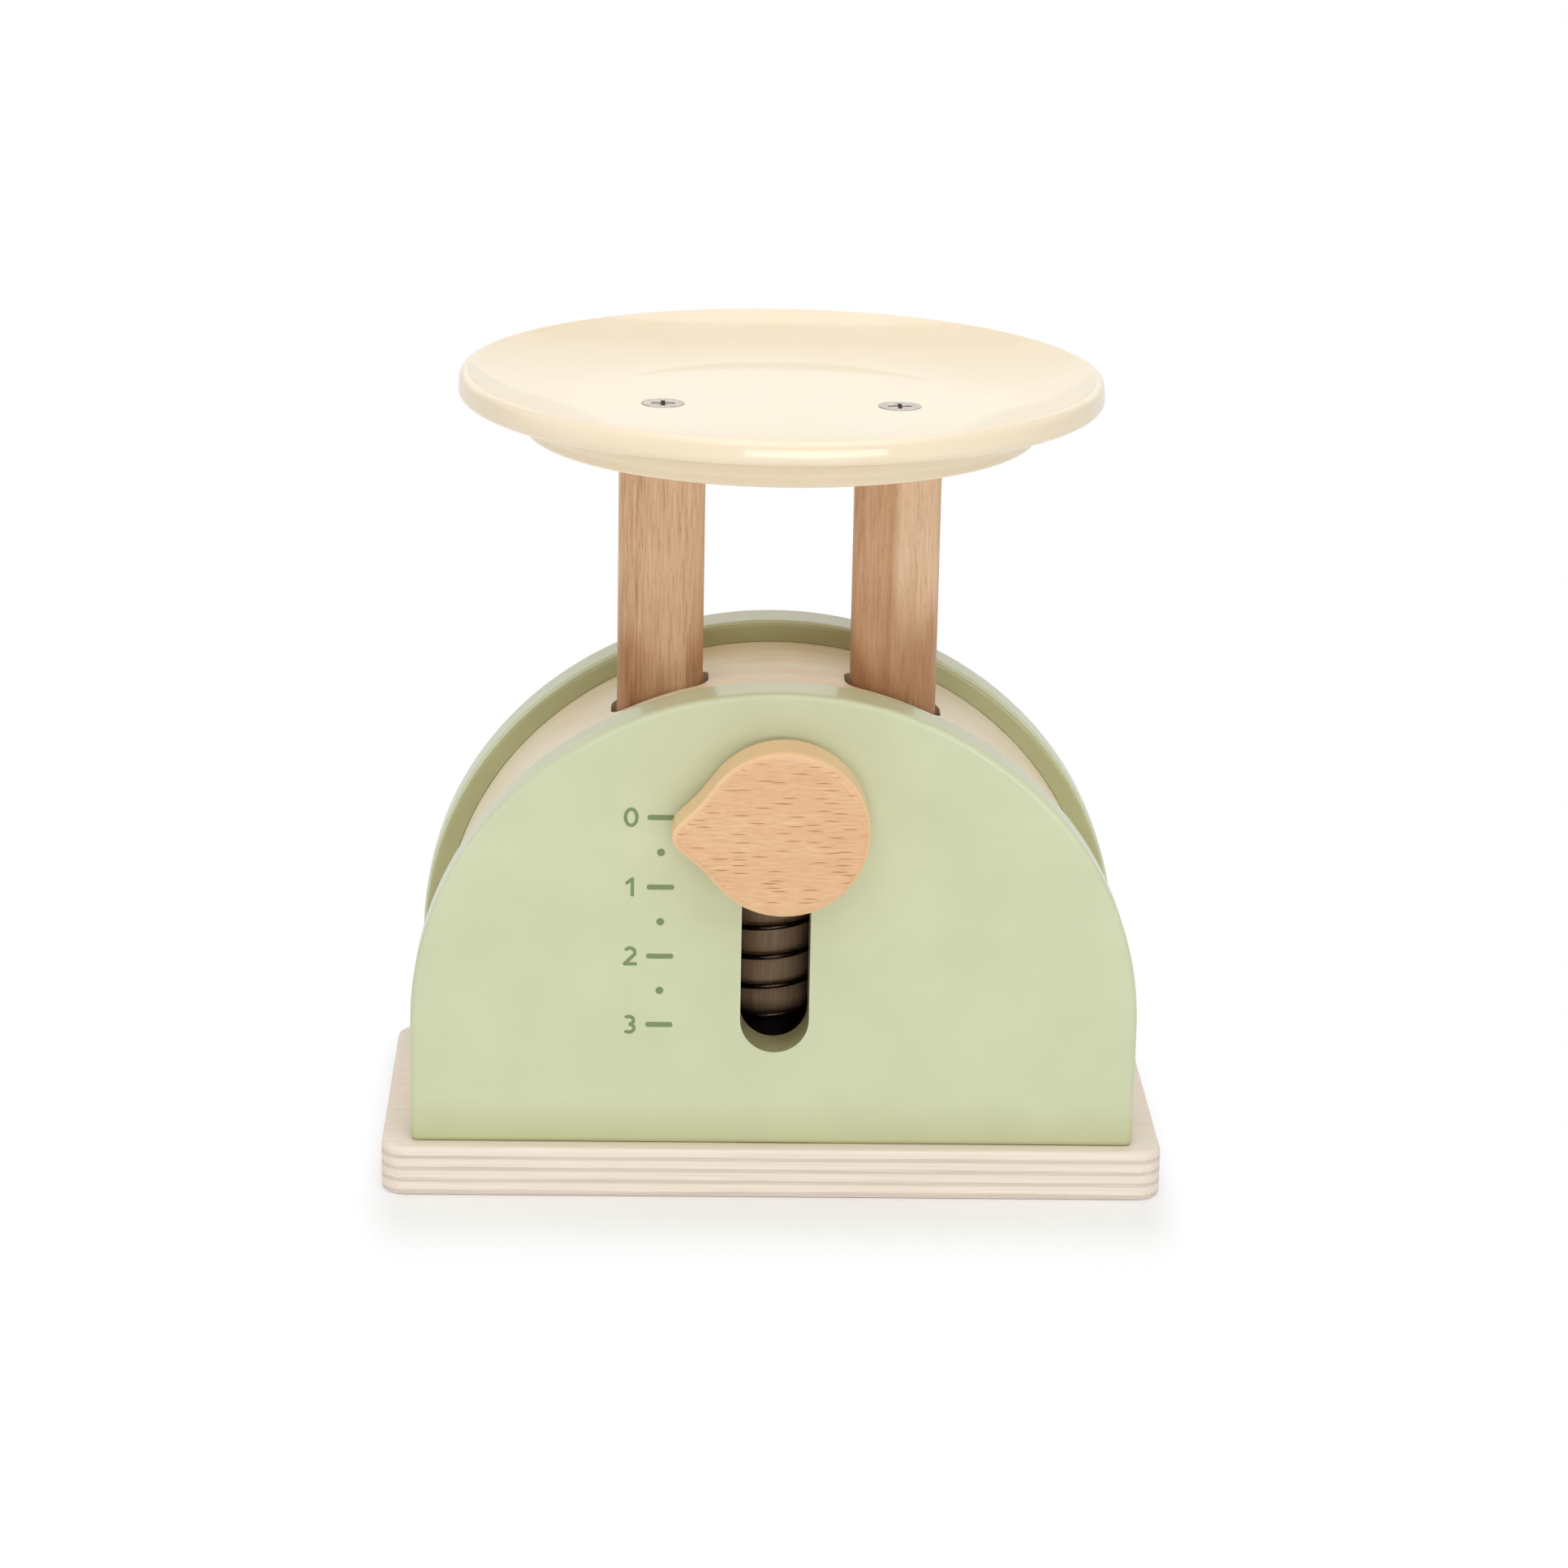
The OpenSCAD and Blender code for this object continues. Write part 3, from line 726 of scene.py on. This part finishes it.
def makeDish(d):
    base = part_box("dish")[0].z
    mesh = bmesh.new()
    corners = [mesh.verts.new((r * mm, 0, base + h * mm)) for r, h, rounding in d["outline"]]
    for pair in zip(corners, corners[1:]):
        mesh.edges.new(pair)
    for corner, (r, h, rounding) in zip(corners, d["outline"]):
        if rounding:
            bmesh.ops.bevel(
                mesh, geom=[corner], offset=rounding * mm, segments=d["cornerSteps"],
                affect="VERTICES", profile=0.5, material=-1,
            )
    bmesh.ops.spin(
        mesh, geom=mesh.verts[:] + mesh.edges[:], cent=(0, 0, 0), axis=(0, 0, 1),
        angle=math.radians(360), steps=d["steps"], use_merge=True,
    )
    # two flat faces are still open: the underside, and the floor round its screw holes
    floorZ = base + d["outline"][-1][1] * mm
    loose = [e for e in mesh.edges if e.is_boundary]
    low = [e for e in loose if e.verts[0].co.z < (base + floorZ) / 2]
    rims = [e for e in loose if e not in low]
    bmesh.ops.triangle_fill(mesh, use_beauty=True, use_dissolve=False, edges=low)
    for screwX in (-d["screwX"] * mm, d["screwX"] * mm):
        hole = bmesh.ops.create_circle(
            mesh, segments=d["screwSteps"], radius=d["screwRadius"] * mm,
            matrix=Matrix.Translation((screwX, 0, floorZ)),
        )["verts"]
        edges = list({e for v in hole for e in v.link_edges})
        rims += edges
        grown = bmesh.ops.extrude_edge_only(mesh, edges=edges)["geom"]
        foot = [g for g in grown if isinstance(g, bmesh.types.BMVert)]
        bmesh.ops.translate(mesh, vec=(0, 0, -d["screwDepth"] * mm), verts=foot)
        shrink = 1 - d["screwDepth"] / d["screwRadius"]
        toAxis = Matrix.Translation((-screwX, 0, 0))
        bmesh.ops.scale(mesh, vec=(shrink, shrink, 1), verts=foot, space=toAxis)
        rim = [g for g in grown if isinstance(g, bmesh.types.BMEdge)]
        bmesh.ops.contextual_create(mesh, geom=rim)
    bmesh.ops.triangle_fill(mesh, use_beauty=True, use_dissolve=False, edges=rims)
    piece = finishPiece(
        "turnedDish", mesh, creamLacquer, "carriage", smoothAngle=40
    )
    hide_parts("dish")


makeDish(dish)
print("dish made")

# The return spring: close at both ends and open between them
spring = {  # mm
    "wire": 1.2,
    "radius": 9.8,
    "bottom": 10.5,
    "height": 58.2,  # with the wire's own thickness
    "turns": 10.35,
    "startAngle": 11,  # degrees
    "endPitch": 1.68,
    "endTurns": 1.0,
    "blend": 0.3,  # turns over which the pitch changes
    "stepsPerTurn": 48,
    "wireSteps": 12,
}


def makeSpring(s):
    openTurns = s["turns"] - 2 * s["endTurns"]
    openPitch = (s["height"] - s["wire"] - 2 * s["endTurns"] * s["endPitch"]) / openTurns

    def bend(u):
        # 0 before a change of pitch and u after it, with a soft turn between
        return (u + math.sqrt(u * u + s["blend"] ** 2)) / 2

    def climb(u):
        # mm that the wire has risen after u turns
        opened = bend(u - s["endTurns"]) - bend(u - s["turns"] + s["endTurns"])
        return s["endPitch"] * u + (openPitch - s["endPitch"]) * opened

    whole = (s["height"] - s["wire"]) / (climb(s["turns"]) - climb(0))  # makes up the full height
    mesh = bmesh.new()
    ring = bmesh.ops.create_circle(
        mesh, cap_ends=True, segments=s["wireSteps"], radius=s["wire"] / 2 * mm
    )["verts"]
    start = (
        Matrix.Rotation(math.radians(s["startAngle"]), 4, "Z")
        @ Matrix.Translation((s["radius"] * mm, 0, (s["bottom"] + s["wire"] / 2) * mm))
        @ upright
    )
    bmesh.ops.transform(mesh, matrix=start, verts=ring)
    edges = mesh.edges[:]
    steps = round(s["turns"] * s["stepsPerTurn"])
    turn = Matrix.Rotation(2 * math.pi * s["turns"] / steps, 3, "Z")
    for i in range(steps):
        grown = bmesh.ops.extrude_edge_only(mesh, edges=edges)["geom"]
        ring = [g for g in grown if isinstance(g, bmesh.types.BMVert)]
        edges = [g for g in grown if isinstance(g, bmesh.types.BMEdge)]
        rise = whole * (climb((i + 1) * s["turns"] / steps) - climb(i * s["turns"] / steps))
        bmesh.ops.rotate(mesh, cent=(0, 0, 0), matrix=turn, verts=ring)
        bmesh.ops.translate(mesh, vec=(0, 0, rise * mm), verts=ring)
    bmesh.ops.contextual_create(mesh, geom=edges)
    piece = finishPiece(
        "returnSpring", mesh, springSteel, "housing", smoothAngle=60
    )
    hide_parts("return_spring")
    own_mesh(piece)


makeSpring(spring)
print("spring made")

# The scale beside the slot: four dashes with their numbers, and a dot between each two
scaleMarks = {  # mm
    "count": 4,  # numbers, from 0 to 3
    "top": 80.46,  # height of the dash at 0
    "pitch": 14.7,
    "dashLeft": -26.27,
    "dashRight": -20.71,
    "dashWidth": 1.1,
    "dotX": -23.45,
    "dotSize": 1.6,
    "dotLength": 0.001,  # a dot is a bar that is hardly pulled apart
    "numberX": -29.5,
    "numberHeight": 4.1,
    "numberWidth": 3.0,
    "stroke": 0.72,
    "ink": 0.03,  # how far the ink stands off the lacquer
    "overlap": 0.008,  # how far each later stroke of a number stands off the one under it
    "roundSteps": 24,
    "arcStep": 7.5,  # degrees
    "fewestArcSteps": 12,
}
# the numbers' own shapes: mm, or shares of half the width and half the height within the stroke
numberShapes = {
    "stem1": 0.35,  # mm, the 1 stands to the right of its middle
    "flag1": (-0.75, -0.85),  # mm, the end of its flag from its middle and top
    "bowl2": (0.88, 0.56),
    "sweep2": (-25, 155),  # degrees, from the right round over the top
    "foot2": 0.95,
    "shift3": -0.1,  # mm
    "bowls3": (0.82, 0.92),  # widths of the upper and the lower bowl
    "sweeps3": ((-90, 140), (-140, 90)),
}


def inkBar(mesh, start, end, width):
    # a bar with round ends: a circle whose right half is pulled away
    start, end = Vector(start), Vector(end)
    way = end - start
    flat = bmesh.ops.create_circle(
        mesh, cap_ends=True, segments=scaleMarks["roundSteps"], radius=width / 2 * mm
    )["verts"]
    right = [v for v in flat if v.co.x > 0.01 * width * mm]  # not the points on the middle line
    bmesh.ops.translate(mesh, vec=(way.length * mm, 0, 0), verts=right)
    place = (
        Matrix.Translation((start.x * mm, 0, start.y * mm))
        @ Matrix.Rotation(-math.atan2(way.y, way.x), 4, "Y")
        @ upright
    )
    bmesh.ops.transform(mesh, matrix=place, verts=flat)


def inkArc(mesh, centre, radii, sweep, width):
    # a strip spun round the centre, then drawn out to an oval
    radiusX, radiusZ = radii
    before = set(mesh.verts)
    across = [mesh.verts.new((radiusX + side * width / 2, 0, 0)) for side in (-1, 1)]
    edge = mesh.edges.new(across)
    start = Matrix.Rotation(-math.radians(sweep[0]), 3, "Y")
    bmesh.ops.rotate(mesh, cent=(0, 0, 0), matrix=start, verts=across)
    angle = sweep[1] - sweep[0]
    bmesh.ops.spin(
        mesh, geom=across + [edge], cent=(0, 0, 0), axis=(0, 1, 0), angle=-math.radians(angle),
        steps=max(scaleMarks["fewestArcSteps"], round(angle / scaleMarks["arcStep"])),
        use_merge=angle >= 360,
    )
    strip = [v for v in mesh.verts if v not in before]
    for v in strip:
        # the strip keeps its width where the oval is drawn out
        v.co.z += (radiusZ - radiusX) * v.co.z / v.co.length
    bmesh.ops.scale(mesh, vec=(mm, mm, mm), verts=strip)
    bmesh.ops.translate(mesh, vec=(centre[0] * mm, 0, centre[1] * mm), verts=strip)


def numberStrokes(digit, x, z, m, n):
    # bars from point to point and arcs round a centre, in mm on the panel's face
    rx, rz = (m["numberWidth"] - m["stroke"]) / 2, (m["numberHeight"] - m["stroke"]) / 2
    if digit == 0:
        return [(inkArc, (x, z), (rx, rz), (0, 360))]
    if digit == 1:
        stem, top = x + n["stem1"], z + rz
        flag = (x + n["flag1"][0], top + n["flag1"][1])
        return [(inkBar, (stem, z - rz), (stem, top)), (inkBar, flag, (stem, top))]
    if digit == 2:
        reach, bowl = rx * n["bowl2"][0], rz * n["bowl2"][1]
        centre = (x, z + rz - bowl)
        turn = math.radians(n["sweep2"][0])
        neck = (centre[0] + reach * math.cos(turn), centre[1] + bowl * math.sin(turn))
        foot = (x - rx * n["foot2"], z - rz)
        return [
            (inkArc, centre, (reach, bowl), n["sweep2"]),
            (inkBar, neck, foot),
            (inkBar, foot, (x + rx, z - rz)),
        ]
    x, bowl = x + n["shift3"], rz / 2
    upper, lower = n["bowls3"]
    return [
        (inkArc, (x, z + rz - bowl), (rx * upper, bowl), n["sweeps3"][0]),
        (inkArc, (x, z - rz + bowl), (rx * lower, bowl), n["sweeps3"][1]),
    ]


def makeScale(m):
    marks = []
    inset = m["dashWidth"] / 2
    left, right = m["dashLeft"] + inset, m["dashRight"] - inset
    for i in range(m["count"]):
        z = m["top"] - i * m["pitch"]
        marks.append((inkBar, m["dashWidth"], 0, (left, z), (right, z)))
        if i < m["count"] - 1:
            dotZ = z - m["pitch"] / 2
            dot = ((m["dotX"], dotZ), (m["dotX"] + m["dotLength"], dotZ))
            marks.append((inkBar, m["dotSize"], 0, *dot))
        strokes = numberStrokes(i, m["numberX"], z, m, numberShapes)
        for layer, (draw, *shape) in enumerate(strokes):
            marks.append((draw, m["stroke"], layer, *shape))
    mesh = bmesh.new()
    for draw, width, layer, *shape in marks:
        before = set(mesh.faces)
        draw(mesh, *shape, width)
        flat = [f for f in mesh.faces if f not in before]
        grown = bmesh.ops.extrude_face_region(mesh, geom=flat, use_keep_orig=True)["geom"]
        front = [g for g in grown if isinstance(g, bmesh.types.BMVert)]
        bmesh.ops.translate(mesh, vec=(0, -(m["ink"] + layer * m["overlap"]) * mm, 0), verts=front)
    bmesh.ops.translate(mesh, vec=(0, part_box("front_panel")[0].y, 0), verts=mesh.verts)
    finishPiece("scaleMarks", mesh, scaleInk, "housing")


makeScale(scaleMarks)
print("scale marks made")

# Floor, background and light

studio = {
    "white": (1, 1, 1, 1),
    "world": 0.12,  # strength of the even light from all round
    # each softbox: place and target in m, width and height in m, power in W
    "lamps": {
        "ceiling": ((0.0, 0.0, 1.6), (0, 0, 0.1), (1.6, 1.6), 12.5),
        "back": ((0.0, 1.5, 0.9), (0, 0, 0.1), (2.4, 0.9), 2.6),
        "frontHigh": ((0.2, -1.2, 1.3), (0, 0, 0.1), (2.0, 1.2), 13.2),
        "left": ((-1.4, -0.3, 0.6), (0, 0, 0.1), (1.6, 1.2), 5.0),
        "right": ((1.4, -0.3, 0.6), (0, 0, 0.1), (1.6, 1.2), 1.5),
        "frontLow": ((0.33, -1.75, 0.12), (0, 0, 0.08), (1.6, 0.2), 6.5),
    },
    "paper": "#FAFAFA",
    "floorSize": 12.0,  # m
    "floorSquares": 8,
    "footprint": (0.074, 0.0365, 0),  # m, the shadow is measured from this far out along X and Y
    "squeeze": (3.2, 1, 0),  # it reaches this much less at the sides than in front
    "shadowReach": 0.038,  # m in front of the footprint, where plain white starts
}


def softbox(name, place, aim, size, power):
    data = bpy.data.lights.new(name, "AREA")
    data.shape = "RECTANGLE"
    data.size, data.size_y = size
    data.energy = power
    lamp = bpy.data.objects.new(name, data)
    bpy.context.scene.collection.objects.link(lamp)
    lamp.location = place
    lamp.rotation_euler = (Vector(aim) - Vector(place)).to_track_quat("-Z", "Y").to_euler()


def shownTo(tree):
    # 1 for the rays that see the white background: from the camera, in gloss and through glass
    path = addNode(tree, "ShaderNodeLightPath")
    seen = path.outputs["Is Camera Ray"]
    for kind in ("Is Glossy Ray", "Is Transmission Ray"):
        seen = addNode(
            tree, "ShaderNodeMath", {"operation": "MAXIMUM"}, {0: seen, 1: path.outputs[kind]}
        ).outputs[0]
    return seen


def makeBackground(s):
    world = bpy.data.worlds.new("studio")
    bpy.context.scene.world = world
    world.use_nodes = True
    tree = world.node_tree
    tree.nodes.clear()
    dim, white = (
        addNode(tree, "ShaderNodeBackground", {"Color": s["white"], "Strength": strength})
        for strength in (s["world"], 1.0)
    )
    mix = addNode(
        tree, "ShaderNodeMixShader", None,
        {0: shownTo(tree), 1: dim.outputs[0], 2: white.outputs[0]},
    )
    addNode(tree, "ShaderNodeOutputWorld", None, {"Surface": mix.outputs[0]})


def whitePaper(s):
    # the object's shadow shows near the base, and farther out the camera sees plain white
    paper = bpy.data.materials.new("whitePaper")
    paper.use_nodes = True
    tree = paper.node_tree
    tree.nodes.clear()
    sheet = addNode(tree, "ShaderNodeBsdfDiffuse", {"Color": linear(s["paper"])})
    glow = addNode(tree, "ShaderNodeEmission", {"Color": s["white"], "Strength": 1.0})
    out = addNode(tree, "ShaderNodeTexCoord").outputs["Object"]
    for operation, operand in (
        ("MULTIPLY", (1, 1, 0)),
        ("ABSOLUTE", None),
        ("SUBTRACT", s["footprint"]),
        ("MULTIPLY", s["squeeze"]),
        ("MAXIMUM", (0, 0, 0)),
    ):
        settings = {"operation": operation, 1: operand} if operand else {"operation": operation}
        out = addNode(tree, "ShaderNodeVectorMath", settings, {0: out}).outputs[0]
    reach = addNode(
        tree, "ShaderNodeVectorMath", {"operation": "LENGTH"}, {0: out}
    ).outputs["Value"]
    far = addNode(
        tree, "ShaderNodeMapRange",
        {"interpolation_type": "SMOOTHSTEP", "From Min": 0.0, "From Max": s["shadowReach"]},
        {"Value": reach},
    ).outputs[0]
    shown = addNode(
        tree, "ShaderNodeMath", {"operation": "MULTIPLY"}, {0: far, 1: shownTo(tree)}
    ).outputs[0]
    mix = addNode(
        tree, "ShaderNodeMixShader", None, {0: shown, 1: sheet.outputs[0], 2: glow.outputs[0]}
    )
    addNode(tree, "ShaderNodeOutputMaterial", None, {"Surface": mix.outputs[0]})
    return paper


def makeFloor(s):
    mesh = bmesh.new()
    squares = s["floorSquares"]
    bmesh.ops.create_grid(mesh, x_segments=squares, y_segments=squares, size=s["floorSize"] / 2)
    data = bpy.data.meshes.new("floor")
    mesh.to_mesh(data)
    mesh.free()
    data.materials.append(whitePaper(s))
    floor = bpy.data.objects.new("floor", data)
    bpy.context.scene.collection.objects.link(floor)


makeBackground(studio)
for lampName, lampSetup in studio["lamps"].items():
    softbox(lampName + "Box", *lampSetup)
makeFloor(studio)
bpy.context.scene.view_settings.view_transform = "Standard"
print("studio ready")
